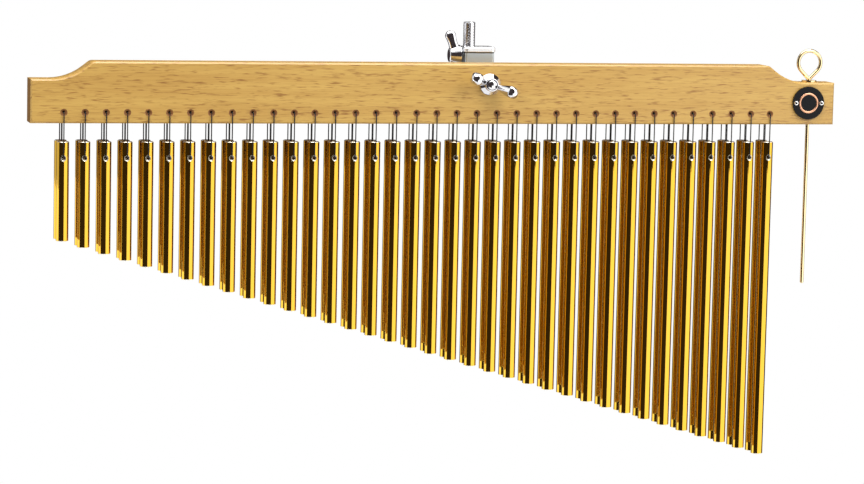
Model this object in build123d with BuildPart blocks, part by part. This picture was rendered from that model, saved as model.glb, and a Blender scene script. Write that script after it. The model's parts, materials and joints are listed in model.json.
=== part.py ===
"""Double-row bar chimes: rods hung on cord loops from a wooden bar, with a stand clamp and a striker."""
import math
import os

from build123d import *

os.makedirs("parts", exist_ok=True)

# Rods and their spacing
station_count = 36
rod_diameter = 9.525
rod_gap = 6.675
row_gap = 4.15
rod_overhang = 0.5
shortest_rod = 76.3
rod_length_step = 5.08
cross_hole_drop = 12.5
cross_hole_diameter = 2.4
rod_sides = 12
hole_sides = 6

# Cords
cord_diameter = 0.9
cord_drop = 35.3
cord_clearance = 0.3
cord_seat_clearance = 0.1

# Bar
bar_height = 47.0
shoulder_height = 33.5
shoulder_slope = 38.0
concave_radius = 42.0
convex_radius = 5.5
bar_edge_chamfer = 1.2
left_flat_length = 15.7
left_margin = 25.3
right_margin = 54.3
cord_hole_rise = 8.75
cord_hole_diameter = 2.3
groove_margin = 0.5

# Stand clamp
block_station = 20.45
bolt_offset = 2.2
bolt_drop = 15.8
bolt_diameter = 8.0
bolt_depth_in_block = 12.0
bolt_end_length = 1.0
bolt_end_chamfer = 0.8
bolt_clearance = 0.15
block_width = 23.6
block_depth = 19.3
block_rise = 7.5
block_below_bolt = 11.6
block_edge_radius = 1.5
cap_thickness = 4.4
cap_overhang = 1.0
cap_corner_radius = 3.0
cap_edge_chamfer = 0.9
post_diameter = 9.525
post_length = 19.3
post_chamfer = 0.8
post_offset = 6.6
spigot_diameter = 6.0
spigot_depth = 18.0
seat_clearance = 0.05
washer_diameter = 17.0
washer_thickness = 1.6

# Front wing nut
nut_base_diameter = 16.4
nut_end_diameter = 12.0
nut_length = 8.0
nut_reach = 19.0
nut_lobe_radius = 4.3
nut_lobe_rise = 15.0
nut_lobe_thickness = 6.4
nut_web_thickness = 3.8
nut_angle = 20.0

# Rear wing screw
screw_diameter = 5.0
screw_clearance = 0.1
screw_tip_gap = 0.1
screw_cap_gap = 0.1
screw_base_diameter = 16.4
screw_end_diameter = 12.0
screw_hub_length = 10.8
screw_hub_gap = 0.4
screw_reach = 19.5
screw_lobe_radius = 3.8
screw_lobe_rise = 10.2
screw_lobe_thickness = 6.0
screw_web_thickness = 4.4

# Striker and its collar
striker_diameter = 3.0
striker_sides = 8
striker_clearance = 0.3
striker_end_margin = 17.9
striker_hang = 130.0
striker_tip_chamfer = 0.7
ring_radius = 9.5
ring_centre_rise = 13.4
ring_foot_rise = 0.7
collar_diameter = 12.0
collar_thickness = 1.5
collar_margin = 0.3

# Badge
badge_diameter = 26.3
badge_thickness = 2.0
badge_end_margin = 22.4
badge_rise = 17.4
badge_pin_spacing = 21.6
badge_pin_diameter = 1.6
badge_pin_head_diameter = 3.9
badge_pin_head_height = 1.4
badge_pin_depth = 9.0

# Places worked out from the sizes above, from the post's axis at the top of the block
station_pitch = rod_diameter + rod_gap
hole_turn = 90 + 180 / hole_sides
bar_thickness = 2 * rod_diameter + row_gap - 2 * rod_overhang
row_spacing = rod_diameter + row_gap
bar_length = left_margin + (station_count - 1) * station_pitch + right_margin
block_x = post_offset
bolt_x = block_x + bolt_offset
bar_back = -block_depth / 2
bar_front = bar_back - bar_thickness
bar_middle = (bar_back + bar_front) / 2
bar_top = -cap_thickness - block_rise
bar_bottom = bar_top - bar_height
shoulder_top = bar_bottom + shoulder_height
right_flat_length = striker_end_margin + collar_diameter / 2 + collar_margin
bolt_z = bar_top - bolt_drop
block_bottom = bolt_z - block_below_bolt
first_station_x = block_x - block_station * station_pitch
bar_left = first_station_x - left_margin
bar_right = bar_left + bar_length
cord_hole_z = bar_bottom + cord_hole_rise
cross_hole_z = cord_hole_z - cord_drop
rod_top = cross_hole_z + cross_hole_drop
station_xs = [first_station_x + station * station_pitch for station in range(station_count)]
row_ys = [bar_middle - row_spacing / 2, bar_middle + row_spacing / 2]
strand_reach = rod_diameter / 2 + cord_clearance + cord_diameter / 2
striker_x = bar_right - striker_end_margin
badge_x = bar_right - badge_end_margin
badge_z = bar_bottom + badge_rise
front_plane = Plane(origin=(0, bar_front, 0), x_dir=(1, 0, 0), z_dir=(0, -1, 0))
back_plane = Plane(origin=(0, bar_back, 0), x_dir=(1, 0, 0), z_dir=(0, 1, 0))


def wings(base_diameter, end_diameter, length, reach, lobe_radius, lobe_rise, lobe_thickness, web_thickness):
    """Tapered hub that stands on the XY plane, with a web and a thicker round lobe on each side along X."""
    with BuildPart() as piece:
        with BuildSketch(Plane.XY):
            Circle(base_diameter / 2)
        with BuildSketch(Plane.XY.offset(length)):
            Circle(end_diameter / 2)
        loft()
        for side in (-1, 1):
            lobe_place = (side * (reach - lobe_radius), lobe_rise)
            with BuildSketch(Plane.XZ):
                with Locations(lobe_place):
                    Circle(lobe_radius - web_thickness / 2)
                with Locations((side * end_diameter / 4, length / 2)):
                    Rectangle(end_diameter / 4, length - web_thickness)
                make_hull()
            extrude(amount=web_thickness / 2, both=True)
            with BuildSketch(Plane.XZ):
                with Locations(lobe_place):
                    Circle(lobe_radius)
            extrude(amount=lobe_thickness / 2, both=True)
    return piece.part


def save(piece, node):
    """Label a finished piece with its node name and write its file."""
    piece.part.label = node
    export_step(piece.part, f"parts/{node}.step")


# Wooden bar, with a groove along its underside in which the inner strands of both rows hang
shoulder_rise = bar_height - shoulder_height
turn = math.radians(shoulder_slope)
slope_length = (shoulder_rise - (concave_radius + convex_radius) * (1 - math.cos(turn))) / math.sin(turn)
groove_length = station_xs[-1] - station_xs[0] + cord_hole_diameter + 2 * groove_margin
groove_width = row_spacing - 2 * strand_reach + cord_diameter + 2 * groove_margin
groove_depth = cord_hole_rise + cord_hole_diameter / 2 + groove_margin

with BuildPart() as bar:
    with BuildSketch(Plane.XZ.offset(-bar_back)):
        with BuildLine():
            base = Line((bar_left, bar_bottom), (bar_right, bar_bottom))
            left_end = Line((bar_left, bar_bottom), (bar_left, shoulder_top))
            left_flat = Line((bar_left, shoulder_top), (bar_left + left_flat_length, shoulder_top))
            left_hollow = JernArc(left_flat @ 1, (1, 0), concave_radius, shoulder_slope)
            left_slope = PolarLine(left_hollow @ 1, slope_length, shoulder_slope)
            left_crown = JernArc(left_slope @ 1, left_slope % 1, convex_radius, -shoulder_slope)
            right_end = Line((bar_right, bar_bottom), (bar_right, shoulder_top))
            right_flat = Line((bar_right, shoulder_top), (bar_right - right_flat_length, shoulder_top))
            right_hollow = JernArc(right_flat @ 1, (-1, 0), concave_radius, -shoulder_slope)
            right_slope = PolarLine(right_hollow @ 1, slope_length, 180 - shoulder_slope)
            right_crown = JernArc(right_slope @ 1, right_slope % 1, convex_radius, shoulder_slope)
            Line(left_crown @ 1, right_crown @ 1)
        make_face()
    extrude(amount=bar_thickness)
    chamfer(bar.edges().filter_by(Axis.Y, reverse=True), bar_edge_chamfer)
    with BuildSketch(front_plane):
        with Locations(*[(x, cord_hole_z) for x in station_xs]):
            RegularPolygon(cord_hole_diameter / 2, hole_sides, rotation=hole_turn)
    extrude(amount=-bar_thickness, mode=Mode.SUBTRACT)
    with BuildSketch(Plane.XY.offset(bar_bottom)):
        with Locations(((station_xs[0] + station_xs[-1]) / 2, bar_middle)):
            Rectangle(groove_length, groove_width)
    extrude(amount=groove_depth, mode=Mode.SUBTRACT)
    with BuildSketch(Plane.XY.offset(bar_bottom)):
        with Locations((striker_x, bar_middle)):
            Circle(striker_diameter / 2 + striker_clearance)
    extrude(amount=shoulder_height, mode=Mode.SUBTRACT)
    with BuildSketch(front_plane):
        with Locations((bolt_x, bolt_z)):
            Circle(bolt_diameter / 2 + bolt_clearance)
    extrude(amount=-bar_thickness, mode=Mode.SUBTRACT)
    with BuildSketch(front_plane):
        with Locations((badge_x, badge_z)):
            with GridLocations(badge_pin_spacing, 0, 2, 1):
                RegularPolygon(badge_pin_diameter / 2 + seat_clearance, hole_sides)
    extrude(amount=-badge_pin_depth, mode=Mode.SUBTRACT)
save(bar, "bar")

# Cord loops: each lies in the bottom of its bar hole and carries its rod by the top of the cross-hole
hole_flat = math.cos(math.pi / hole_sides)
loop_top = cord_hole_z - cord_hole_diameter / 2 * hole_flat + cord_diameter / 2 + cord_seat_clearance
loop_bottom = cross_hole_z + cross_hole_diameter / 2 * hole_flat - cord_diameter / 2 - cord_seat_clearance
loop_height = loop_top - loop_bottom + cord_diameter
loop_depth = 2 * strand_reach + cord_diameter
loop_eye_height = loop_height - 2 * cord_diameter
loop_eye_depth = loop_depth - 2 * cord_diameter
for row_y, node in zip(row_ys, ("front_cords", "back_cords")):
    with BuildPart() as cords:
        for x in station_xs:
            with BuildSketch(Plane.YZ.offset(x)):
                with Locations((row_y, (loop_top + loop_bottom) / 2)):
                    Rectangle(loop_depth, loop_height)
                    Rectangle(loop_eye_depth, loop_eye_height, mode=Mode.SUBTRACT)
            extrude(amount=cord_diameter / 2, both=True)
    save(cords, node)

# Rods, a front one and a back one of equal length at each station
for station, x in enumerate(station_xs):
    rod_length = shortest_rod + station * rod_length_step
    with BuildPart() as chime_pair:
        with BuildSketch(Plane.XY.offset(rod_top)):
            with Locations(*[(x, y) for y in row_ys]):
                RegularPolygon(rod_diameter / 2, rod_sides, major_radius=False, rotation=180 / rod_sides)
        extrude(amount=-rod_length)
        with BuildSketch(Plane.XZ.offset(-bar_middle)):
            with Locations((x, cross_hole_z)):
                RegularPolygon(cross_hole_diameter / 2, hole_sides, rotation=hole_turn)
        extrude(amount=row_spacing, both=True, mode=Mode.SUBTRACT)
    save(chime_pair, f"chime_pair_{station + 1:02d}")

# Clamp block with its cap, bored for the post, the bolt and the wing screw
block_left = block_x - block_width / 2
cap_width = block_width + 2 * cap_overhang
cap_depth = block_depth + 2 * cap_overhang
screw_z = -cap_thickness - screw_cap_gap - screw_clearance - screw_diameter / 2
with BuildPart() as clamp_block:
    with BuildSketch(Plane.XY.offset(-cap_thickness)):
        with Locations((block_x, 0)):
            RectangleRounded(cap_width, cap_depth, cap_corner_radius)
    extrude(amount=cap_thickness)
    chamfer(clamp_block.edges().filter_by(Axis.Z, reverse=True), cap_edge_chamfer)
    with BuildSketch(Plane.XY.offset(block_bottom)):
        with Locations((block_x, 0)):
            RectangleRounded(block_width, block_depth, block_edge_radius)
    extrude(amount=-block_bottom - cap_thickness)
    with BuildSketch(Plane.XY):
        Circle(spigot_diameter / 2 + seat_clearance)
    extrude(amount=-spigot_depth, mode=Mode.SUBTRACT)
    with BuildSketch(back_plane):
        with Locations((bolt_x, -bolt_z)):
            Circle(bolt_diameter / 2 + seat_clearance)
    extrude(amount=bolt_depth_in_block, mode=Mode.SUBTRACT)
    with BuildSketch(Plane.YZ.offset(block_left)):
        with Locations((0, screw_z)):
            Circle(screw_diameter / 2 + screw_clearance)
    extrude(amount=-block_left, mode=Mode.SUBTRACT)
save(clamp_block, "clamp_block")

# Post: a thick upper part that stands on the block, on a thinner spigot in its bore
with BuildPart() as threaded_post:
    with BuildSketch(Plane.XY):
        Circle(post_diameter / 2)
    extrude(amount=post_length)
    chamfer(threaded_post.faces().sort_by(Axis.Z)[-1].edges(), post_chamfer)
    with BuildSketch(Plane.XY):
        Circle(spigot_diameter / 2)
    extrude(amount=-spigot_depth)
save(threaded_post, "threaded_post")

# Clamp bolt, washer and wing nut on one axis through the bar
nut_face = bar_front - washer_thickness
with BuildPart() as clamp_bolt:
    with BuildSketch(back_plane.offset(bolt_depth_in_block)):
        with Locations((bolt_x, -bolt_z)):
            Circle(bolt_diameter / 2)
    extrude(amount=-(bolt_depth_in_block + bar_thickness + washer_thickness + nut_length + bolt_end_length))
    chamfer(clamp_bolt.faces().sort_by(Axis.Y)[0].edges(), bolt_end_chamfer)
save(clamp_bolt, "clamp_bolt")

with BuildPart() as washer:
    with BuildSketch(front_plane):
        with Locations((bolt_x, bolt_z)):
            Circle(washer_diameter / 2)
            Circle(bolt_diameter / 2 + bolt_clearance, mode=Mode.SUBTRACT)
    extrude(amount=washer_thickness)
save(washer, "washer")

nut_turn = math.radians(nut_angle)
nut_plane = Plane(
    origin=(bolt_x, nut_face, bolt_z),
    x_dir=(math.cos(nut_turn), 0, -math.sin(nut_turn)),
    z_dir=(0, -1, 0),
)
nut_wings = wings(
    nut_base_diameter,
    nut_end_diameter,
    nut_length,
    nut_reach,
    nut_lobe_radius,
    nut_lobe_rise,
    nut_lobe_thickness,
    nut_web_thickness,
)
with BuildPart() as wing_nut:
    add(nut_plane.location * nut_wings)
    with BuildSketch(nut_plane):
        Circle(bolt_diameter / 2 + bolt_clearance)
    extrude(amount=nut_length + nut_lobe_rise, mode=Mode.SUBTRACT)
save(wing_nut, "wing_nut")

# Wing screw, from the left side of the block to the spigot
hub_x = block_left - cap_overhang - screw_hub_gap
screw_tip_x = -spigot_diameter / 2 - screw_tip_gap
hub_plane = Plane(origin=(hub_x, 0, screw_z), x_dir=(0, 0, 1), z_dir=(-1, 0, 0))
screw_wings = wings(
    screw_base_diameter,
    screw_end_diameter,
    screw_hub_length,
    screw_reach,
    screw_lobe_radius,
    screw_lobe_rise,
    screw_lobe_thickness,
    screw_web_thickness,
)
with BuildPart() as wing_screw:
    add(hub_plane.location * screw_wings)
    with BuildSketch(hub_plane):
        Circle(screw_diameter / 2)
    extrude(amount=hub_x - screw_tip_x)
save(wing_screw, "wing_screw")

# Collar on the shoulder, round the striker's hole
collar_top = shoulder_top + collar_thickness
with BuildPart() as striker_collar:
    with BuildSketch(Plane.XY.offset(shoulder_top)):
        with Locations((striker_x, bar_middle)):
            Circle(collar_diameter / 2)
            Circle(striker_diameter / 2 + striker_clearance, mode=Mode.SUBTRACT)
    extrude(amount=collar_thickness)
save(striker_collar, "striker_collar")

# Striker: a straight pin whose wire opens into a teardrop ring
ring_foot = collar_top + ring_foot_rise
ring_centre = ring_foot + ring_centre_rise
leg_angle = math.asin(ring_radius / ring_centre_rise)
leg_length = ring_centre_rise * math.cos(leg_angle)
leg_run = leg_length * math.sin(leg_angle)
leg_rise = leg_length * math.cos(leg_angle)
bow_start = (striker_x + leg_run, bar_middle, ring_foot + leg_rise)
bow_axis = Axis((striker_x, bar_middle, ring_centre), (0, -1, 0))
striker_tip = bar_bottom - striker_hang
side_turn = 180 / striker_sides
with BuildPart() as striker:
    with BuildSketch(Plane.XY.offset(striker_tip)):
        with Locations((striker_x, bar_middle)):
            RegularPolygon(striker_diameter / 2, striker_sides, major_radius=False, rotation=side_turn)
    extrude(amount=ring_foot - striker_tip)
    chamfer(striker.faces().sort_by(Axis.Z)[0].edges(), striker_tip_chamfer)
    for side in (-1, 1):
        leg_direction = (side * leg_run, 0, leg_rise)
        with BuildSketch(Plane((striker_x, bar_middle, ring_foot), x_dir=(0, 1, 0), z_dir=leg_direction)):
            RegularPolygon(striker_diameter / 2, striker_sides, major_radius=False, rotation=side_turn)
        extrude(amount=leg_length)
    with BuildSketch(Plane(bow_start, x_dir=(0, 1, 0), z_dir=(leg_run, 0, leg_rise))):
        RegularPolygon(striker_diameter / 2, striker_sides, major_radius=False, rotation=side_turn)
    revolve(axis=bow_axis, revolution_arc=180 + 2 * math.degrees(leg_angle))
save(striker, "striker")

# Plain badge, held by two pins
badge_place = Plane(origin=(badge_x, bar_front, badge_z), x_dir=(1, 0, 0), z_dir=(0, -1, 0))
with BuildPart() as badge:
    with BuildSketch(badge_place):
        Circle(badge_diameter / 2)
    extrude(amount=badge_thickness)
    with BuildSketch(badge_place):
        with GridLocations(badge_pin_spacing, 0, 2, 1):
            RegularPolygon(badge_pin_diameter / 2 + seat_clearance, hole_sides)
    extrude(amount=badge_thickness, mode=Mode.SUBTRACT)
save(badge, "badge")

with BuildPart() as badge_pins:
    with BuildSketch(badge_place.offset(badge_thickness)):
        with GridLocations(badge_pin_spacing, 0, 2, 1):
            Circle(badge_pin_head_diameter / 2)
    extrude(amount=badge_pin_head_height)
    with BuildSketch(badge_place.offset(badge_thickness)):
        with GridLocations(badge_pin_spacing, 0, 2, 1):
            RegularPolygon(badge_pin_diameter / 2, hole_sides)
    extrude(amount=-(badge_thickness + badge_pin_depth))
save(badge_pins, "badge_pins")
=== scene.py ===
"""Studio scene of double-row bar chimes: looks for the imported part, and the stage that it is shown on."""

import json
import math

import bmesh
import bpy
from bpy.props import FloatProperty, FloatVectorProperty, IntProperty, PointerProperty
from mathutils import Matrix, Vector


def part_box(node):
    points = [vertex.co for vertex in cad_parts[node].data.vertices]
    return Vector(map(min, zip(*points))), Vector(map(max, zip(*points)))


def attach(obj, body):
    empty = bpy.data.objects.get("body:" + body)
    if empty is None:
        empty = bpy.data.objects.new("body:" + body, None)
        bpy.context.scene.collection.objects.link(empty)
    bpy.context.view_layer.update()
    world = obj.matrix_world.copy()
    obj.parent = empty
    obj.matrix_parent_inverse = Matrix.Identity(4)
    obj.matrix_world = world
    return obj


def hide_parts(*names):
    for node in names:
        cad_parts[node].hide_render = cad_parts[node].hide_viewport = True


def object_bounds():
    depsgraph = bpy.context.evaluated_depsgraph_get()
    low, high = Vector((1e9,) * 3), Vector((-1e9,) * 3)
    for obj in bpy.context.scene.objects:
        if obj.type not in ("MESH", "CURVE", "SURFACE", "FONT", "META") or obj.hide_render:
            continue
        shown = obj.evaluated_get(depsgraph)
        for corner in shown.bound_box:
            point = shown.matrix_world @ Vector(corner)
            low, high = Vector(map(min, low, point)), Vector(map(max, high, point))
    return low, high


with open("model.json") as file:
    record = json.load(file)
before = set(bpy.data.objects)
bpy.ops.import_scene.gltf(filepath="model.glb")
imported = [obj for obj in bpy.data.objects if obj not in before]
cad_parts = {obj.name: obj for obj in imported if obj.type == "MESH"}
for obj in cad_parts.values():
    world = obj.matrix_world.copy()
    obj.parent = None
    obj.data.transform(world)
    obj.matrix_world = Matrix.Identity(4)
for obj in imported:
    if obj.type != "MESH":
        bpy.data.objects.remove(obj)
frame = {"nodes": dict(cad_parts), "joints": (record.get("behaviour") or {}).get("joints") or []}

bl_info = {
    "name": "Bar chimes",
    "version": (1, 0, 0),
    "blender": (4, 5, 0),
    "location": "3D View > Sidebar > Bar chimes",
    "description": "Dresses double-row bar chimes and sets their studio stage",
    "category": "Object",
}

CAD_BOX = [list(corner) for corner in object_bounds()]
JOINTS = {joint["name"]: joint for joint in frame["joints"]}
PAIRS = sorted(node for node in frame["nodes"] if node.startswith("chime_pair_"))
BAR_LOW, BAR_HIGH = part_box("bar")
SENSOR_WIDTH = 36.0

# Edges sharper than this angle stay sharp, and corners nearer than this length become one after a cut.
SMOOTH_ANGLE = math.radians(35)
WELD = 5e-6

# Turns what is made along Z towards the front.
TO_FRONT = Matrix.Rotation(math.pi / 2, 4, "X")

# Sides of round pieces, from the floor down to the thinnest wire.
FLOOR_SIDES, HUB_SIDES, BOLT_SIDES, PIN_SIDES, WIRE_SIDES = 96, 64, 48, 32, 24

# Materials of a rod's faces, in the order of its slots, and how far past a hole's edge its faces may reach.
# The third slot, the dark cut ends, also darkens each cross-hole's bore as painted shade.
GOLD, BARE, ENDS_AND_BORE_SHADE = 0, 1, 2
HOLE_SLACK = 1.03

# A face turns towards an axis from the first of these shares of its normal, and faces it from the second.
TURNING, FACING = 0.75, 0.9

# Shape of a wing's ear: the power that flattens its sides, and its waist as a share of the lobe's radius.
# Then where it starts, as shares of the screw hub's end and of the ear's half height, and that half height
# as a share of the hub's length.
EAR_FLATNESS, EAR_WAIST = 0.6, 0.16
EAR_ROOT_OUT, EAR_ROOT_UP = 0.75, 1.2
NUT_ROOT, SCREW_ROOT = 0.35, 0.42

# The rods reflect the cards below this border, and the clamp and the wings those above it.
CARD_FOOT, CARD_BORDER = -0.9, -0.22

# Cards round the post: name, start and end in degrees from the camera's side, foot, top, whether it glows.
CARDS = (
    ("dark_card", -66, 21.5, CARD_FOOT, CARD_BORDER, False),
    ("upper_dark_card", -66, 40, CARD_BORDER, 1.2, False),
    ("right_card", 21.5, 100, CARD_FOOT, CARD_BORDER, True),
    ("upper_right_card", 40, 100, CARD_BORDER, 0.6, True),
    ("left_card", -120, -66, CARD_FOOT, CARD_BORDER, True),
    ("right_edge_card", 102, 148, CARD_FOOT, 0.3, False),
    ("left_edge_card", -165, -120, CARD_FOOT, 0.3, False),
    ("back_card", 140, 220, 0.06, 0.6, False),
    ("upper_back_card", 100, 260, 0.6, 2.2, False),
)


def size(name, description, default):
    """A length property in metres."""
    return FloatProperty(
        name=name, description=description, default=default, min=0.0, unit="LENGTH", precision=5
    )


def angle(name, description, degrees):
    """An angle property, given in degrees."""
    return FloatProperty(name=name, description=description, default=math.radians(degrees), subtype="ANGLE")


def power(name, description, default):
    """A lamp's power in watts."""
    return FloatProperty(name=name, description=description, default=default, min=0.0, unit="POWER")


def factor(name, description, default):
    """A property without a unit."""
    return FloatProperty(name=name, description=description, default=default, min=0.0)


def colour(name, description, default):
    """A linear colour property."""
    return FloatVectorProperty(
        name=name, description=description, default=default, size=3, min=0.0, max=1.0, subtype="COLOR"
    )


class BarChimesSizes(bpy.types.PropertyGroup):
    """Sizes of the details that dress the part."""

    rod_edge: size("Rod edge", "Chamfer round each end of a rod", 0.0005)
    rod_segments: IntProperty(name="Rod segments", description="Sides of a round rod", default=64, min=16)
    cross_hole: size("Cross-hole", "Diameter of the hole through a rod", 0.0028)
    cross_hole_mouth: size("Cross-hole mouth", "Diameter of the hole's chamfered mouth", 0.0050)
    cord: size("Cord", "Diameter of a cord", 0.0009)
    countersink: size("Countersink", "Diameter of the burnt mouth of a cord hole in the bar", 0.0056)
    countersink_depth: size("Countersink depth", "Depth of that mouth", 0.0015)
    thread_pitch: size("Thread pitch", "Rise of the post's thread in one turn", 0.00125)
    thread_depth: size("Thread depth", "Depth of the post's thread", 0.0004)
    cap_height: size("Cap height", "Height of the clamp block's cap", 0.0044)
    # The dark seam band is painted shade for the shadow under the cap's overhang.
    cap_seam: size("Cap seam", "Height of the dark seam under that cap", 0.0009)
    bolt_dome: size("Bolt dome", "Rise of the bolt's domed end", 0.0018)
    metal_edge: size("Metal edge", "Rounding of the metal pieces", 0.0007)
    hub_base: size("Hub base", "Diameter of a wing's hub where it bears", 0.0164)
    hub_end: size("Hub end", "Diameter of the wing screw's hub at its outer end", 0.0120)
    hub_neck: size("Hub neck", "Diameter of the wing nut's hub at its outer end", 0.0106)
    hub_edge: size("Hub edge", "Rounding of a hub's base and of the wing nut's outer end", 0.0010)
    hub_lip: size("Hub lip", "Rounding of the wing screw's outer end", 0.0017)
    nut_bore: size("Nut bore", "Diameter of the wing nut's hole", 0.0083)
    nut_length: size("Nut length", "Length of the wing nut's hub", 0.0080)
    nut_reach: size("Nut reach", "From the wing nut's axis to the outside of a lobe", 0.0202)
    nut_rise: size("Nut rise", "From the wing nut's face to the middle of a lobe", 0.0141)
    nut_lobe: size("Nut lobe", "Radius of the wing nut's lobes", 0.0051)
    nut_thickness: size("Nut thickness", "Thickness of the wing nut's lobes", 0.0096)
    nut_turn: angle("Nut turn", "Lean of the wing nut at rest", 20.0)
    screw_shank: size("Screw shank", "Diameter of the wing screw's shank", 0.0050)
    screw_length: size("Screw length", "Length of the wing screw's hub", 0.0098)
    screw_reach: size("Screw reach", "From the wing screw's axis to the outside of a lobe", 0.0195)
    screw_rise: size("Screw rise", "From the wing screw's face to the middle of a lobe", 0.0086)
    screw_lobe: size("Screw lobe", "Radius of the wing screw's lobes", 0.0042)
    screw_thickness: size("Screw thickness", "Thickness of the wing screw's lobes", 0.0062)
    web_thickness: size("Web thickness", "Thickness of the wing nut's webs at its hub", 0.0038)
    ring_foot: size("Ring foot", "From the collar to where the striker's wire parts", 0.0007)
    tip_edge: size("Tip edge", "Rounding of the striker's tip", 0.0007)
    badge_ring: size("Badge ring", "Radius of the plain ring on the badge", 0.0074)
    badge_ring_wire: size("Badge ring wire", "Thickness of that ring", 0.0017)
    pin_dimple: size("Pin dimple", "Radius of the dimple in a badge pin", 0.0009)


class BarChimesColours(bpy.types.PropertyGroup):
    """Colours of the finishes."""

    gold: colour("Gold", "Polished rods", (0.62, 0.365, 0.04))
    bare: colour("Bare metal", "Mouths of the rods' cross-holes", (0.93, 0.88, 0.74))
    # Also laid on the bores of the rods' cross-holes as painted shade.
    cut_end_and_bore_shade: colour("Cut end", "Ends of the rods", (0.20, 0.10, 0.035))
    wood_light: colour("Wood, light", "Ground of the bar", (0.55, 0.335, 0.074))
    wood_dark: colour("Wood, dark", "Late wood of the bar", (0.49, 0.280, 0.056))
    fibre: colour("Fibre", "Shade that the fibres give the wood", (0.90, 0.86, 0.80))
    pore: colour("Pore", "Shade that open pores give the wood", (0.58, 0.45, 0.34))
    end_grain: colour("End grain", "Sawn ends of the bar", (0.30, 0.165, 0.065))
    burnt: colour("Burnt wood", "Mouths of the cord holes", (0.34, 0.14, 0.035))
    nylon: colour("Nylon", "Cords", (0.010, 0.009, 0.009))
    chrome: colour("Chrome", "Post, bolt, washer and wings", (0.70, 0.70, 0.72))
    nickel: colour("Nickel", "Clamp block", (0.51, 0.56, 0.58))
    cap: colour("Cap", "Brighter cap of the clamp block", (0.90, 0.91, 0.92))
    brass: colour("Brass", "Striker and collar", (0.77, 0.61, 0.34))
    enamel: colour("Enamel", "Badge", (0.004, 0.004, 0.005))
    copper: colour("Copper", "Ring on the badge", (0.62, 0.33, 0.20))
    steel: colour("Steel", "Badge pins", (0.74, 0.74, 0.72))


class BarChimesStage(bpy.types.PropertyGroup):
    """Camera, cards and light."""

    lens: FloatProperty(
        name="Lens", description="Focal length in mm on a 36 mm sensor", default=133.0, min=1.0
    )
    camera_place: FloatVectorProperty(
        name="Camera place", description="Where the camera stands", default=(-0.6506, -2.4376, 0.1436),
        size=3, subtype="TRANSLATION",
    )
    yaw: angle("Yaw", "Turn to the right", 14.36)
    pitch: angle("Pitch", "Look down", 6.78)
    roll: angle("Roll", "Lean of the camera", 1.28)
    floor_drop: size("Floor drop", "Floor below the longest rods", 0.30)
    floor_radius: size("Floor radius", "Radius of the round floor", 1.0)
    floor_thickness: size("Floor thickness", "Thickness of that floor", 0.01)
    card_radius: size("Card radius", "From the post to the cards round it", 1.4)
    dark: colour("Dark card", "Card that darkens the reflections", (0.052, 0.040, 0.042))
    bright: factor("Bright cards", "Glow of the cards on both sides", 2.1)
    overhead: factor("Overhead card", "Glow of the card overhead", 6.0)
    surround: factor("Surround", "Light from the white surround", 0.55)
    key_power: power("Key power", "Lamp on the right", 42.0)
    fill_power: power("Fill power", "Lamp on the left", 20.0)
    top_power: power("Top power", "Lamp overhead", 30.0)


def sizes():
    """The sizes of the scene."""
    return bpy.context.scene.bar_chimes_sizes


def colours():
    """The colours of the scene."""
    return bpy.context.scene.bar_chimes_colours


def stage():
    """The values of the stage."""
    return bpy.context.scene.bar_chimes_stage


def grey(value):
    """A grey colour."""
    return (value, value, value)


def scaled(tone, share):
    """A colour made darker or lighter."""
    return tuple(value * share for value in tone)


def station(pair):
    """Where a pair of rods hangs along the bar."""
    return JOINTS[pair + "_swing"]["pos_m"][0]


def linked(name, data):
    """An object in the scene."""
    piece = bpy.data.objects.new(name, data)
    bpy.context.scene.collection.objects.link(piece)
    return piece


def finish(name, base, metallic, roughness):
    """A material, with its node tree and its shader."""
    material = bpy.data.materials.new(name)
    material.use_nodes = True
    shader = material.node_tree.nodes["Principled BSDF"]
    shader.inputs["Base Color"].default_value = (*base, 1.0)
    shader.inputs["Metallic"].default_value = metallic
    shader.inputs["Roughness"].default_value = roughness
    return material, material.node_tree, shader


def noise(tree, scale, stretch=(1.0, 1.0, 1.0), detail=3.0):
    """Noise in the object's own space, stretched along its axes."""
    place = tree.nodes.new("ShaderNodeTexCoord")
    mapping = tree.nodes.new("ShaderNodeMapping")
    mapping.inputs["Scale"].default_value = stretch
    texture = tree.nodes.new("ShaderNodeTexNoise")
    texture.inputs["Scale"].default_value = scale
    texture.inputs["Detail"].default_value = detail
    tree.links.new(place.outputs["Object"], mapping.inputs["Vector"])
    tree.links.new(mapping.outputs["Vector"], texture.inputs["Vector"])
    return texture.outputs["Fac"]


def ramp(tree, source, low_colour, high_colour, low=0.3, high=0.7):
    """Two colours across a stretch of a source's values."""
    node = tree.nodes.new("ShaderNodeValToRGB")
    node.color_ramp.elements[0].position = low
    node.color_ramp.elements[0].color = (*low_colour, 1.0)
    node.color_ramp.elements[1].position = high
    node.color_ramp.elements[1].color = (*high_colour, 1.0)
    tree.links.new(source, node.inputs["Fac"])
    return node.outputs["Color"]


def coordinate(tree, space, axis):
    """One axis of a texture coordinate."""
    place = tree.nodes.new("ShaderNodeTexCoord")
    split = tree.nodes.new("ShaderNodeSeparateXYZ")
    tree.links.new(place.outputs[space], split.inputs["Vector"])
    return split.outputs[axis]


def maths(tree, operation, *operands):
    """The result of a math node on other outputs and plain numbers."""
    node = tree.nodes.new("ShaderNodeMath")
    node.operation = operation
    for socket, operand in zip(node.inputs, operands):
        if isinstance(operand, float):
            socket.default_value = operand
        else:
            tree.links.new(operand, socket)
    return node.outputs["Value"]


def shaded(tree, under, tint):
    """One colour output darkened by another."""
    node = tree.nodes.new("ShaderNodeMix")
    node.data_type = "RGBA"
    node.blend_type = "MULTIPLY"
    node.inputs["Factor"].default_value = 1.0
    tree.links.new(under, node.inputs["A"])
    tree.links.new(tint, node.inputs["B"])
    return node.outputs["Result"]


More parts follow.
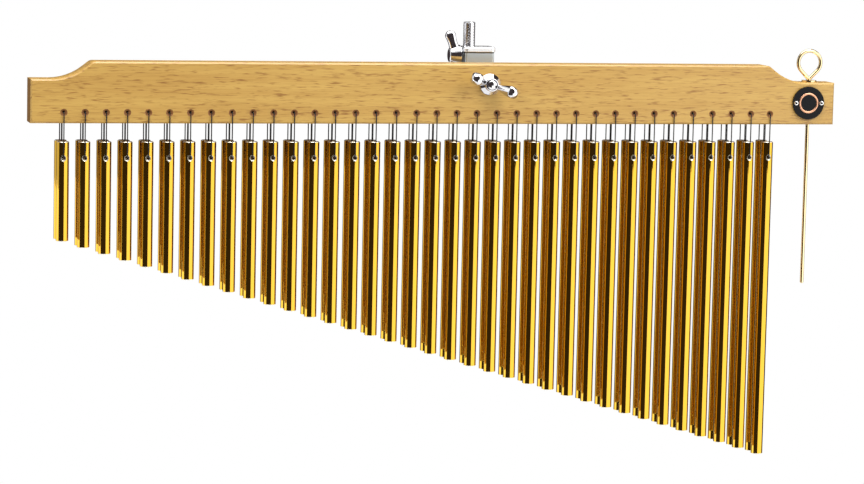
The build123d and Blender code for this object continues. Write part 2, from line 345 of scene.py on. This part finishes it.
def mixed(tree, share, under, over):
    """One colour output laid over another by a share."""
    node = tree.nodes.new("ShaderNodeMix")
    node.data_type = "RGBA"
    tree.links.new(share, node.inputs["Factor"])
    tree.links.new(under, node.inputs["A"])
    tree.links.new(over, node.inputs["B"])
    return node.outputs["Result"]


def bump(tree, shader, source, strength, distance):
    """Small relief from a texture's values."""
    node = tree.nodes.new("ShaderNodeBump")
    node.inputs["Strength"].default_value = strength
    node.inputs["Distance"].default_value = distance
    tree.links.new(source, node.inputs["Height"])
    tree.links.new(node.outputs["Normal"], shader.inputs["Normal"])


def polished(name, base, roughness, wear, scale=900.0, stretch=(1.0, 1.0, 1.0)):
    """Polished metal whose roughness varies a little, as handling and buffing leave it."""
    material, tree, shader = finish(name, base, metallic=1.0, roughness=roughness)
    marks = noise(tree, scale, stretch)
    worn = ramp(tree, marks, grey(roughness), grey(roughness + wear), low=0.35, high=0.75)
    tree.links.new(worn, shader.inputs["Roughness"])
    return material


def oak():
    """Varnished open-pored wood with its grain along X and brown sawn ends."""
    material, tree, shader = finish("varnished_oak", colours().wood_light, metallic=0.0, roughness=0.5)
    shader.inputs["Coat Roughness"].default_value = 0.25
    bands = noise(tree, scale=90.0, stretch=(0.06, 1.0, 1.0))
    grained = ramp(tree, bands, colours().wood_dark, colours().wood_light, low=0.35, high=0.65)
    fibres = noise(tree, scale=1300.0, stretch=(0.035, 1.0, 1.0), detail=2.0)
    fibre_shade = ramp(tree, fibres, grey(1.0), colours().fibre, low=0.45, high=0.65)
    grained = shaded(tree, grained, fibre_shade)
    streaks = noise(tree, scale=900.0, stretch=(0.11, 1.0, 1.0), detail=2.0)
    pore_shade = ramp(tree, streaks, grey(1.0), colours().pore, low=0.56, high=0.72)
    grained = shaded(tree, grained, pore_shade)
    facing = maths(tree, "ABSOLUTE", coordinate(tree, "Normal", "X"))
    ends = ramp(tree, facing, grey(0.0), grey(1.0), TURNING, FACING)
    rings = noise(tree, scale=500.0, stretch=(1.0, 1.0, 0.5), detail=4.0)
    sawn = ramp(tree, rings, scaled(colours().end_grain, 0.7), colours().end_grain)
    tree.links.new(mixed(tree, ends, grained, sawn), shader.inputs["Base Color"])
    varnish = ramp(tree, facing, grey(0.35), grey(0.0), TURNING, FACING)
    tree.links.new(varnish, shader.inputs["Coat Weight"])
    tree.links.new(varnish, shader.inputs["Specular IOR Level"])
    bump(tree, shader, streaks, strength=0.2, distance=0.0002)
    return material


def dress(node, material):
    """Give a CAD node one material."""
    mesh = frame["nodes"][node].data
    mesh.materials.clear()
    mesh.materials.append(material)
    return frame["nodes"][node]


def soften(piece, width):
    """Round a metal node's edges."""
    modifier = piece.modifiers.new("rounded_edges", "BEVEL")
    modifier.width = width
    modifier.segments = 3
    modifier.limit_method = "ANGLE"
    modifier.angle_limit = SMOOTH_ANGLE


def new_piece(name, data, body, materials, replaces=()):
    """Link a mesh or a curve as a piece that rides on a body."""
    piece = linked(name, data)
    for material in materials:
        data.materials.append(material)
    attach(piece, body)
    if replaces:
        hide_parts(*replaces)
    return piece


def to_mesh(name, made):
    """A smooth-shaded mesh from a bmesh, which is freed."""
    bmesh.ops.recalc_face_normals(made, faces=made.faces)
    mesh = bpy.data.meshes.new(name)
    made.to_mesh(mesh)
    made.free()
    smooth(mesh)
    return mesh


def smooth(mesh):
    """Shade a mesh smooth between its sharp edges."""
    for face in mesh.polygons:
        face.use_smooth = True
    mesh.set_sharp_from_angle(angle=SMOOTH_ANGLE)


def bridge(made, rings, closed=False):
    """Join rings of equal length, or single points, with faces."""
    pairs = list(zip(rings, rings[1:])) + ([(rings[-1], rings[0])] if closed else [])
    for lower, upper in pairs:
        count = max(len(lower), len(upper))
        for side in range(count):
            after = (side + 1) % count
            corners = [lower[side % len(lower)], lower[after % len(lower)]]
            corners += [upper[after % len(upper)], upper[side % len(upper)]]
            made.faces.new(list(dict.fromkeys(corners)))


def turned(name, profile, segments, turn=Matrix.Identity(4)):
    """A closed mesh turned about Z from (radius, height) pairs that start and end on the axis."""
    made = bmesh.new()
    rings = []
    for radius, height in profile:
        count = segments if radius else 1
        angles = (2 * math.pi * side / count for side in range(count))
        rings.append([made.verts.new((radius * math.cos(a), radius * math.sin(a), height)) for a in angles])
    bridge(made, rings)
    made.transform(turn)
    return to_mesh(name, made)


def torus(name, radius, across, along, turn):
    """A ring about Z whose section is an ellipse."""
    made = bmesh.new()
    sides, round_sides = 72, 16
    rings = []
    for side in range(sides):
        a = 2 * math.pi * side / sides
        steps = (2 * math.pi * step / round_sides for step in range(round_sides))
        points = ((radius + across * math.cos(s), along * math.sin(s)) for s in steps)
        rings.append([made.verts.new((r * math.cos(a), r * math.sin(a), z)) for r, z in points])
    bridge(made, rings, closed=True)
    made.transform(turn)
    return to_mesh(name, made)


def joined(name, *meshes):
    """One mesh from several."""
    made = bmesh.new()
    for mesh in meshes:
        made.from_mesh(mesh)
    return to_mesh(name, made)


def combined(mesh, other, operation):
    """The first mesh with the second one joined to it or cut out of it."""
    body = linked("combined_body", mesh)
    tool = linked("combined_tool", other)
    modifier = body.modifiers.new("combined", "BOOLEAN")
    modifier.object = tool
    modifier.operation = operation
    modifier.solver = "EXACT"
    graph = bpy.context.evaluated_depsgraph_get()
    result = bpy.data.meshes.new_from_object(body.evaluated_get(graph))
    bpy.data.objects.remove(body)
    bpy.data.objects.remove(tool)
    made = bmesh.new()
    made.from_mesh(result)
    bmesh.ops.remove_doubles(made, verts=made.verts, dist=WELD)
    bmesh.ops.dissolve_degenerate(made, edges=made.edges, dist=WELD)
    made.to_mesh(result)
    made.free()
    smooth(result)
    return result


def squared(share):
    """A sine or cosine pushed outwards, which flattens the sides of an ellipse."""
    return math.copysign(abs(share) ** EAR_FLATNESS, share)


def ear(name, root, lobe_place, lobe_radius, lobe_thickness, root_half, root_thickness, side):
    """A rounded wing from a hub's wall to its lobe, in the XZ plane, with flattened sides."""
    start, end = Vector((root[0], 0, root[1])), Vector((lobe_place[0], 0, lobe_place[1]))
    run = (end - start).normalized()
    across = Vector((-run.z, 0, run.x))
    web, lobe = root_thickness / 2, lobe_thickness / 2
    made = bmesh.new()
    sides, steps, cap_steps = 32, 12, 8
    sections = []
    for step in range(steps + 1):
        t = step / steps
        swell = t * t * (3 - 2 * t)
        waist = EAR_WAIST * lobe_radius * math.sin(math.pi * t)
        high = root_half + (lobe_radius - root_half) * t - waist
        sections.append((start.lerp(end, t), high, web + (lobe - web) * swell))
    for step in range(1, cap_steps):
        a = math.pi / 2 * step / cap_steps
        centre = end + run * lobe_radius * math.sin(a)
        sections.append((centre, lobe_radius * math.cos(a), lobe * math.cos(a)))
    rings = []
    for centre, high, thick in sections:
        points = []
        for point in range(sides):
            a = 2 * math.pi * point / sides
            place = centre + across * high * squared(math.cos(a))
            points.append(made.verts.new((side * place.x, thick * squared(math.sin(a)), place.z)))
        rings.append(points)
    tip = end + run * lobe_radius
    rings.append([made.verts.new((side * tip.x, 0, tip.z))])
    bridge(made, rings)
    made.faces.new(rings[0])
    return to_mesh(name, made)


def rim(radius, height, edge):
    """Points of a quarter round at the outer end of a turned profile."""
    steps = 6
    turns = [math.pi / 2 * step / steps for step in range(steps + 1)]
    return [(radius - edge + edge * math.cos(t), height - edge + edge * math.sin(t)) for t in turns]


def wings(name, hub_profile, root_half, root_thickness, reach, rise, lobe_radius, lobe_thickness):
    """A turned hub with a rounded ear on each side along X."""
    root = (sizes().hub_end / 2 * EAR_ROOT_OUT, root_half * EAR_ROOT_UP)
    lobe = ((reach - lobe_radius, rise), lobe_radius, lobe_thickness)
    mesh = turned(name, hub_profile, HUB_SIDES)
    for side in (-1, 1):
        mesh = combined(mesh, ear(name, root, *lobe, root_half, root_thickness, side), "UNION")
    return mesh


def tube(name, radius, resolution):
    """An empty curve with a round section."""
    curve = bpy.data.curves.new(name, "CURVE")
    curve.dimensions = "3D"
    curve.bevel_depth = radius
    curve.bevel_resolution = resolution
    return curve


def add_line(curve, kind, places):
    """Lay a line through places into a curve."""
    line = curve.splines.new(kind)
    line.points.add(len(places) - 1)
    for point, place in zip(line.points, places):
        point.co = (*place, 1.0)
    return line


def drilled_rod(radius, length, hole_drop):
    """A rod that hangs down from the origin, with chamfered ends and a chamfered cross-hole."""
    edge = sizes().rod_edge
    bore, mouth = sizes().cross_hole / 2, sizes().cross_hole_mouth / 2
    profile = [(0.0, 0.0), (radius - edge, 0.0), (radius, -edge)]
    # One ring on each side of the hole, so that a longer rod stretches only below it.
    profile += [(radius, 2 * mouth - hole_drop), (radius, -hole_drop - 2 * mouth)]
    profile += [(radius, edge - length), (radius - edge, -length), (0.0, -length)]
    blank = turned("rod_blank", profile, sizes().rod_segments)
    slope = mouth - bore
    reach = radius + slope
    drill = [(0.0, -reach), (mouth + slope, -reach), (bore, slope - radius), (bore, radius - slope)]
    drill += [(mouth + slope, reach), (0.0, reach)]
    along = Matrix.Translation((0, 0, -hole_drop)) @ TO_FRONT
    rod = combined(blank, turned("rod_drill", drill, PIN_SIDES, along), "DIFFERENCE")
    sloping, level = 0.3, 0.9
    for face in rod.polygons:
        corners = [rod.vertices[corner].co for corner in face.vertices]
        off_axis = max(math.hypot(corner.x, corner.z + hole_drop) for corner in corners)
        in_bore = off_axis <= bore * HOLE_SLACK
        in_mouth = off_axis < mouth * HOLE_SLACK
        at_end = abs(face.normal.z) > sloping and off_axis > mouth * HOLE_SLACK
        # The bore's faces take the dark end colour as painted shade inside the hole; the flat ends take it
        # as their own colour.
        if in_bore or (at_end and abs(face.normal.z) > level):
            face.material_index = ENDS_AND_BORE_SHADE
        else:
            face.material_index = BARE if in_mouth or at_end else GOLD
    return rod


class BARCHIMES_OT_rods(bpy.types.Operator):
    """Make the polished round rods, with chamfered ends and bare chamfered cross-holes"""

    bl_idname = "bar_chimes.rods"
    bl_label = "Rods"

    def execute(self, context):
        buffing = {"scale": 300.0, "stretch": (1.0, 1.0, 0.15)}
        gold = polished("polished_gold", colours().gold, roughness=0.03, wear=0.02, **buffing)
        bare = polished("bare_metal", colours().bare, roughness=0.38, wear=0.10)
        # This dark end finish also goes on the cross-holes' bores as painted shade.
        sawn = polished("sawn_ends_and_bore_shade", colours().cut_end_and_bore_shade, roughness=0.40, wear=0.15)
        low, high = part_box(PAIRS[0])
        radius, shortest = (high.x - low.x) / 2, high.z - low.z
        hole_drop = high.z - JOINTS[PAIRS[0] + "_swing"]["pos_m"][2]
        rod = drilled_rod(radius, shortest, hole_drop)
        below_hole = -hole_drop - sizes().cross_hole_mouth - sizes().rod_edge
        for node in PAIRS:
            low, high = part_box(node)
            pair = bmesh.new()
            for y in (low.y + radius, high.y - radius):
                first = len(pair.verts)
                pair.from_mesh(rod)
                pair.verts.ensure_lookup_table()
                for vertex in pair.verts[first:]:
                    if vertex.co.z < below_hole:
                        vertex.co.z -= (high.z - low.z) - shortest
                    vertex.co += Vector(((low.x + high.x) / 2, y, high.z))
            mesh = to_mesh(node + "_rods", pair)
            new_piece(node + "_rods", mesh, node, [gold, bare, sawn], [node])
        return {"FINISHED"}


def mouth_cones():
    """The cones that cut the mouths of the cord holes, on both faces of the bar."""
    wide, deep = sizes().countersink / 2, sizes().countersink_depth
    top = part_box("front_cords")[1].z - sizes().cord / 2
    cone = [(0.0, -deep), (wide + deep, -deep), (wide - deep, deep), (0.0, deep)]
    cones = []
    for pair in PAIRS:
        for y, facing in ((BAR_LOW.y, 1), (BAR_HIGH.y, -1)):
            place = Matrix.Translation((station(pair), y, top))
            turn = place @ Matrix.Rotation(-facing * math.pi / 2, 4, "X")
            cones.append(turned("mouth_cone", cone, WIRE_SIDES, turn))
    return joined("cord_hole_mouths", *cones)


class BARCHIMES_OT_bar(bpy.types.Operator):
    """Give the bar its grain, and cut the burnt mouths of its cord holes"""

    bl_idname = "bar_chimes.bar"
    bl_label = "Bar"

    def execute(self, context):
        bar = dress("bar", oak())
        burnt, tree, shader = finish("burnt_wood", colours().burnt, metallic=0.0, roughness=0.7)
        char = ramp(tree, noise(tree, scale=900.0), scaled(colours().burnt, 0.6), colours().burnt)
        tree.links.new(char, shader.inputs["Base Color"])
        mesh = mouth_cones()
        mesh.materials.append(burnt)
        cutter = linked("cord_hole_mouths", mesh)
        cutter.hide_render = True
        cutter.hide_viewport = True
        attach(cutter, "bar")
        modifier = bar.modifiers.new("cord_hole_mouths", "BOOLEAN")
        modifier.object = cutter
        modifier.solver = "EXACT"
        modifier.material_mode = "TRANSFER"
        return {"FINISHED"}


def cord_loops(node):
    """The round cord loops of one row, one for each pair of rods."""
    half = sizes().cord / 2
    bend = 2 * half
    low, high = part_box(node)
    front, back = low.y + half, high.y - half
    bottom, top = low.z + half, high.z - half
    corners = [(front, top - bend), (front, top), (front + bend, top)]
    corners += [(back - bend, top), (back, top), (back, top - bend)]
    corners += [(back, bottom + bend), (back, bottom), (back - bend, bottom)]
    corners += [(front + bend, bottom), (front, bottom), (front, bottom + bend)]
    curve = tube(node + "_line", half, resolution=3)
    curve.resolution_u = 6
    for pair in PAIRS:
        line = add_line(curve, "NURBS", [(station(pair), y, z) for y, z in corners])
        line.use_cyclic_u = True
        line.order_u = 3
    return curve


class BARCHIMES_OT_cords(bpy.types.Operator):
    """Make the round cord loops through the bar and the rods"""

    bl_idname = "bar_chimes.cords"
    bl_label = "Cords"

    def execute(self, context):
        nylon, tree, shader = finish("smoky_nylon", colours().nylon, metallic=0.0, roughness=0.4)
        shader.inputs["Specular IOR Level"].default_value = 0.15
        smoke = noise(tree, scale=160.0)
        tint = ramp(tree, smoke, colours().nylon, scaled(colours().nylon, 3), low=0.35)
        tree.links.new(tint, shader.inputs["Base Color"])
        for node in ("front_cords", "back_cords"):
            new_piece(node + "_line", cord_loops(node), "bar", [nylon], [node])
        return {"FINISHED"}


def clamp_metal():
    """Satin nickel with a brighter cap, a band of painted shade in the seam under that cap and a buffed
    top.
    """
    nickel, tree, shader = finish("satin_nickel", colours().nickel, metallic=1.0, roughness=0.40)
    low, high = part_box("clamp_block")
    height = coordinate(tree, "Generated", "Z")
    under = 1 - sizes().cap_height / (high.z - low.z)
    tint = ramp(tree, height, colours().nickel, colours().cap, low=under - 0.01, high=under)
    # Painted shade: a near-black, mottled band under the cap stands in for the shadow in the gap below its
    # overhang.
    seam = maths(tree, "COMPARE", height, under, sizes().cap_seam / 2 / (high.z - low.z))
    painted_seam_shade = ramp(tree, noise(tree, scale=400.0), grey(0.015), grey(0.05))
    tree.links.new(mixed(tree, seam, tint, painted_seam_shade), shader.inputs["Base Color"])
    buffed = ramp(tree, coordinate(tree, "Normal", "Z"), grey(0.40), grey(0.12), TURNING, FACING)
    tree.links.new(buffed, shader.inputs["Roughness"])
    return nickel


def domed_bolt():
    """The clamp bolt, with a dome on its front end."""
    low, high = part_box("clamp_bolt")
    radius, length, dome = (high.x - low.x) / 2, high.y - low.y, sizes().bolt_dome
    steps = 8
    profile = [(0.0, 0.0), (radius, 0.0)]
    for step in range(steps):
        rise = math.pi / 2 * step / steps
        profile.append((radius * math.cos(rise), length - dome + dome * math.sin(rise)))
    profile.append((0.0, length))
    middle = (low + high) / 2
    along = Matrix.Translation((middle.x, high.y, middle.z)) @ TO_FRONT
    return turned("clamp_bolt_domed", profile, BOLT_SIDES, along)


def threaded_post():
    """The post above the clamp block, with a thread round it and a tapered end."""
    low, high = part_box("threaded_post")
    radius = (high.x - low.x) / 2
    pitch, depth = sizes().thread_pitch, sizes().thread_depth
    turn_rows = 12
    rows = int(high.z / pitch * turn_rows)
    post = bmesh.new()
    rings = []
    for row in range(rows + 1):
        z = high.z * row / rows
        taper = max(0.0, 1 - (high.z - z) / (2 * depth))
        ring = []
        for side in range(BOLT_SIDES):
            turn = 2 * math.pi * side / BOLT_SIDES
            groove = max(0.0, math.cos(2 * math.pi * z / pitch - turn)) ** 2
            r = radius - depth * max(groove, taper)
            ring.append(post.verts.new((r * math.cos(turn), r * math.sin(turn), z)))
        rings.append(ring)
    bridge(post, rings)
    post.faces.new(rings[-1])
    post.faces.new(rings[0])
    return to_mesh("threaded_post_thread", post)


class BARCHIMES_OT_clamp(bpy.types.Operator):
    """Finish the clamp block, bolt and washer, and cut the post's thread"""

    bl_idname = "bar_chimes.clamp"
    bl_label = "Clamp"

    def execute(self, context):
        chrome = polished("chrome", colours().chrome, roughness=0.06, wear=0.04)
        soften(dress("clamp_block", clamp_metal()), sizes().metal_edge)
        soften(dress("washer", chrome), sizes().metal_edge)
        new_piece("clamp_bolt_domed", domed_bolt(), "clamp", [chrome], ["clamp_bolt"])
        new_piece("threaded_post_thread", threaded_post(), "clamp", [chrome], ["threaded_post"])
        return {"FINISHED"}


def wing_nut():
    """The wing nut at its joint, with its hole and its lean at rest."""
    base, neck, edge = sizes().hub_base / 2, sizes().hub_neck / 2, sizes().hub_edge
    length = sizes().nut_length
    profile = [(0.0, 0.0), (base - edge, 0.0), (base, edge), (base, 2 * edge)]
    profile += [(neck, base - neck + 2 * edge), *rim(neck, length, edge), (0.0, length)]
    mesh = wings(
        "wing_nut_cast", profile, root_half=length * NUT_ROOT, root_thickness=sizes().web_thickness,
        reach=sizes().nut_reach, rise=sizes().nut_rise,
        lobe_radius=sizes().nut_lobe, lobe_thickness=sizes().nut_thickness,
    )
    bore, far = sizes().nut_bore / 2, sizes().nut_reach
    hole = turned("nut_bore", [(0.0, -far), (bore, -far), (bore, far), (0.0, far)], BOLT_SIDES)
    mesh = combined(mesh, hole, "DIFFERENCE")
    turn = Matrix.Rotation(sizes().nut_turn, 4, "Y") @ TO_FRONT
    mesh.transform(Matrix.Translation(JOINTS["wing_nut_turn"]["pos_m"]) @ turn)
    return mesh


def wing_screw():
    """The wing screw at its joint, with its shank towards the post."""
    base, end, edge = sizes().hub_base / 2, sizes().hub_end / 2, sizes().hub_edge
    length, shank = sizes().screw_length, sizes().screw_shank / 2
    place = Vector(JOINTS["wing_screw_turn"]["pos_m"])
    tip = place.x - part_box("wing_screw")[1].x
    profile = [(0.0, tip), (shank, tip), (shank, 0.0), (base - edge, 0.0), (base, edge), (base, 2 * edge)]
    profile += [*rim(end, length, sizes().hub_lip), (0.0, length)]
    mesh = wings(
        "wing_screw_cast", profile, root_half=length * SCREW_ROOT, root_thickness=sizes().screw_thickness,
        reach=sizes().screw_reach, rise=sizes().screw_rise,
        lobe_radius=sizes().screw_lobe, lobe_thickness=sizes().screw_thickness,
    )
    mesh.transform(Matrix.Translation(place) @ Matrix.Rotation(-math.pi / 2, 4, "Y"))
    return mesh


class BARCHIMES_OT_wings(bpy.types.Operator):
    """Make the rounded wing nut and wing screw"""

    bl_idname = "bar_chimes.wings"
    bl_label = "Wings"

    def execute(self, context):
        chrome = polished("cast_chrome", colours().chrome, roughness=0.06, wear=0.04, scale=500.0)
        new_piece("wing_nut_cast", wing_nut(), "wing_nut", [chrome], ["wing_nut"])
        new_piece("wing_screw_cast", wing_screw(), "wing_screw", [chrome], ["wing_screw"])
        return {"FINISHED"}


def striker_wire():
    """The striker's round pin, and the teardrop ring that its wire is bent into."""
    low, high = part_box("striker")
    wire = (high.y - low.y) / 2
    x, y = (low.x + high.x) / 2, (low.y + high.y) / 2
    ring_radius = (high.x - low.x) / 2 - wire
    ring_centre = high.z - wire - ring_radius
    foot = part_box("striker_collar")[1].z + sizes().ring_foot
    half_bow = math.pi / 2 + math.asin(ring_radius / (ring_centre - foot))
    edge = sizes().tip_edge
    pin = [(0.0, low.z), (wire - edge, low.z), (wire, low.z + edge), (wire, foot), (0.0, foot + wire)]
    shaft = turned("striker_shaft", pin, WIRE_SIDES, Matrix.Translation((x, y, 0)))
    steps = 64
    turns = [half_bow * (2 * step / steps - 1) for step in range(steps + 1)]
    bow = [(x + ring_radius * math.sin(t), y, ring_centre + ring_radius * math.cos(t)) for t in turns]
    curve = tube("striker_ring", wire, resolution=6)
    curve.use_fill_caps = True
    add_line(curve, "POLY", [(x, y, foot), *bow, (x, y, foot)])
    bent = bpy.data.objects.new("striker_ring", curve)
    ring = bpy.data.meshes.new_from_object(bent)
    bpy.data.objects.remove(bent)
    return joined("striker_wire", shaft, ring)


class BARCHIMES_OT_striker(bpy.types.Operator):
    """Make the striker's round wire with its teardrop ring, and finish its collar"""

    bl_idname = "bar_chimes.striker"
    bl_label = "Striker"

    def execute(self, context):
        brass = polished("bright_brass", colours().brass, roughness=0.05, wear=0.03)
        soften(dress("striker_collar", brass), sizes().metal_edge)
        new_piece("striker_wire", striker_wire(), "striker", [brass], ["striker"])
        return {"FINISHED"}


def badge_pins(front):
    """Two pins on the badge's front, whose dimples take the second, black material as painted shade."""
    low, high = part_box("badge_pins")
    head = (high.z - low.z) / 2
    rise, depth = front.y - low.y, front.y - high.y
    shank, dimple = head * 0.4, sizes().pin_dimple
    profile = [(0.0, depth), (shank, depth), (shank, 0.0), (head, 0.0), (head, rise * 0.3)]
    profile += [(head * 0.8, rise * 0.85), (head * 0.5, rise), (dimple, rise), (0.0, rise - dimple)]
    pins = []
    for x in (low.x + head, high.x - head):
        pin = turned("badge_pin", profile, PIN_SIDES)
        for face in pin.polygons:
            off_axis = math.hypot(face.center.x, face.center.y)
            # Painted shade: the faces of the dimple take the black enamel.
            face.material_index = int(face.normal.z > 0 and off_axis < dimple)
        pin.transform(Matrix.Translation((x, front.y, front.z)) @ TO_FRONT)
        pins.append(pin)
    return joined("badge_pin_heads", *pins)


class BARCHIMES_OT_badge(bpy.types.Operator):
    """Finish the badge with a plain ring and two dimpled pins"""

    bl_idname = "bar_chimes.badge"
    bl_label = "Badge"

    def execute(self, context):
        enamel, tree, shader = finish("black_enamel", colours().enamel, metallic=0.0, roughness=0.3)
        shader.inputs["Specular IOR Level"].default_value = 0.12
        worn = ramp(tree, noise(tree, scale=700.0), grey(0.22), grey(0.32), low=0.35)
        tree.links.new(worn, shader.inputs["Roughness"])
        soften(dress("badge", enamel), sizes().metal_edge)
        low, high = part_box("badge")
        front = (low + high) / 2
        front.y = low.y
        wire = sizes().badge_ring_wire / 2
        place = Matrix.Translation(front) @ TO_FRONT
        ring = torus("badge_ring", sizes().badge_ring, across=wire, along=wire * 0.6, turn=place)
        copper = polished("copper", colours().copper, roughness=0.28, wear=0.1)
        new_piece("badge_ring", ring, "bar", [copper])
        steel = polished("pin_steel", colours().steel, roughness=0.22, wear=0.1)
        new_piece("badge_pin_heads", badge_pins(front), "bar", [steel, enamel], ["badge_pins"])
        return {"FINISHED"}


def arc(start, end, low, high):
    """Point pairs of a curved card round the post. Angles in degrees run from the camera's side."""
    radius, steps = stage().card_radius, 24
    rows = []
    for step in range(steps + 1):
        turn = math.radians(start + (end - start) * step / steps) - stage().yaw
        x, y = radius * math.sin(turn), -radius * math.cos(turn)
        rows.append(((x, y, low), (x, y, high)))
    return rows


def card(name, rows, tone, glow):
    """A glowing card through rows of point pairs, seen only in reflections."""
    made = bmesh.new()
    pairs = [tuple(made.verts.new(point) for point in row) for row in rows]
    for here, there in zip(pairs, pairs[1:]):
        made.faces.new((here[0], there[0], there[1], here[1]))
    mesh = bpy.data.meshes.new(name)
    made.to_mesh(mesh)
    made.free()
    material, tree, shader = finish(name, grey(0.0), metallic=0.0, roughness=1.0)
    shader.inputs["Specular IOR Level"].default_value = 0.0
    shader.inputs["Emission Color"].default_value = (*tone, 1.0)
    shader.inputs["Emission Strength"].default_value = glow
    mesh.materials.append(material)
    piece = linked(name, mesh)
    piece.visible_camera = False
    piece.visible_diffuse = False
    piece.visible_transmission = False
    piece.visible_shadow = False


def lamp(name, place, aim, watts, width, height):
    """A soft area lamp."""
    light = bpy.data.lights.new(name, "AREA")
    light.energy = watts
    light.shape = "RECTANGLE"
    light.size = width
    light.size_y = height
    piece = linked(name, light)
    piece.location = place
    piece.rotation_euler = (Vector(aim) - Vector(place)).to_track_quat("-Z", "Y").to_euler()


def set_floor():
    """Lay a pale round floor below the longest rods."""
    radius, foot = stage().floor_radius, -stage().floor_thickness
    disc = turned("floor", [(0.0, foot), (radius, foot), (radius, 0.0), (0.0, 0.0)], FLOOR_SIDES)
    pale, tree, shader = finish("pale_floor", grey(0.86), metallic=0.0, roughness=0.8)
    speckle = ramp(tree, noise(tree, scale=40.0), grey(0.84), grey(0.88))
    tree.links.new(speckle, shader.inputs["Base Color"])
    disc.materials.append(pale)
    floor = linked("floor", disc)
    floor.location.z = CAD_BOX[0][2] - stage().floor_drop


def set_cards():
    """Stand the cards that the metal reflects round the post and overhead."""
    for name, start, end, low, high, glows in CARDS:
        tone, glow = (grey(1.0), stage().bright) if glows else (stage().dark, 1.0)
        card(name, arc(start, end, low, high), tone, glow)
    side, front, back, height = 0.9, -0.7, 0.4, 1.5
    overhead = [((x, front, height), (x, back, height)) for x in (-side, side)]
    card("overhead_card", overhead, grey(1.0), stage().overhead)


def set_lamps():
    """Light the part from the right, the left and overhead."""
    middle = tuple((low + high) / 2 for low, high in zip(*CAD_BOX))
    lamp("key", (1.3, -2.0, 1.6), middle, stage().key_power, width=1.6, height=1.6)
    lamp("fill", (-1.6, -1.8, 0.9), middle, stage().fill_power, width=1.6, height=1.6)
    lamp("top", (0.0, -0.3, 1.8), middle, stage().top_power, width=1.6, height=1.0)


def set_world():
    """Surround the part with white, dimmer for diffuse light than for the camera and reflections."""
    world = bpy.data.worlds.new("white_surround")
    bpy.context.scene.world = world
    world.use_nodes = True
    tree = world.node_tree
    ambient = tree.nodes["Background"]
    ambient.inputs["Color"].default_value = (*grey(1.0), 1.0)
    ambient.inputs["Strength"].default_value = stage().surround
    white = tree.nodes.new("ShaderNodeBackground")
    white.inputs["Color"].default_value = (*grey(1.0), 1.0)
    path = tree.nodes.new("ShaderNodeLightPath")
    seen = path.outputs["Is Camera Ray"]
    for ray in ("Is Glossy Ray", "Is Transmission Ray"):
        seen = maths(tree, "MAXIMUM", seen, path.outputs[ray])
    choose = tree.nodes.new("ShaderNodeMixShader")
    tree.links.new(seen, choose.inputs["Fac"])
    tree.links.new(ambient.outputs["Background"], choose.inputs[1])
    tree.links.new(white.outputs["Background"], choose.inputs[2])
    tree.links.new(choose.outputs["Shader"], tree.nodes["World Output"].inputs["Surface"])


def set_camera():
    """Aim the camera by its yaw, pitch and roll."""
    camera = linked("camera", bpy.data.cameras.new("camera"))
    camera.data.lens = stage().lens
    camera.data.sensor_width = SENSOR_WIDTH
    turn = Matrix.Rotation(-stage().yaw, 4, "Z") @ Matrix.Rotation(math.pi / 2 - stage().pitch, 4, "X")
    turn = turn @ Matrix.Rotation(stage().roll, 4, "Z")
    camera.matrix_world = Matrix.Translation(stage().camera_place) @ turn
    bpy.context.scene.camera = camera


class BARCHIMES_OT_stage(bpy.types.Operator):
    """Set the floor, the cards, the lamps, the white surround and the camera"""

    bl_idname = "bar_chimes.stage"
    bl_label = "Stage"

    def execute(self, context):
        context.scene.view_settings.view_transform = "Standard"
        set_floor()
        set_cards()
        set_lamps()
        set_world()
        set_camera()
        return {"FINISHED"}


OPERATORS = (
    BARCHIMES_OT_stage,
    BARCHIMES_OT_cords,
    BARCHIMES_OT_rods,
    BARCHIMES_OT_bar,
    BARCHIMES_OT_clamp,
    BARCHIMES_OT_wings,
    BARCHIMES_OT_striker,
    BARCHIMES_OT_badge,
)


class BARCHIMES_PT_panel(bpy.types.Panel):
    """Lists the pieces in the order in which they are made"""

    bl_idname = "BARCHIMES_PT_panel"
    bl_label = "Bar chimes"
    bl_space_type = "VIEW_3D"
    bl_region_type = "UI"
    bl_category = "Bar chimes"

    def draw(self, context):
        for operator in OPERATORS:
            self.layout.operator(operator.bl_idname)
        for group in (sizes(), colours(), stage()):
            for name in group.bl_rna.properties.keys():
                if name not in ("rna_type", "name"):
                    self.layout.prop(group, name)


CLASSES = (BarChimesSizes, BarChimesColours, BarChimesStage, *OPERATORS, BARCHIMES_PT_panel)


def register():
    """Add the classes and the scene's values."""
    for made in CLASSES:
        bpy.utils.register_class(made)
    bpy.types.Scene.bar_chimes_sizes = PointerProperty(type=BarChimesSizes)
    bpy.types.Scene.bar_chimes_colours = PointerProperty(type=BarChimesColours)
    bpy.types.Scene.bar_chimes_stage = PointerProperty(type=BarChimesStage)


def unregister():
    """Take the scene's values and the classes away."""
    del bpy.types.Scene.bar_chimes_stage
    del bpy.types.Scene.bar_chimes_colours
    del bpy.types.Scene.bar_chimes_sizes
    for made in reversed(CLASSES):
        bpy.utils.unregister_class(made)


def main():
    """Make the stage and the pieces."""
    register()
    for operator in OPERATORS:
        group, name = operator.bl_idname.split(".")
        getattr(getattr(bpy.ops, group), name)()


if __name__ == "__main__":
    main()
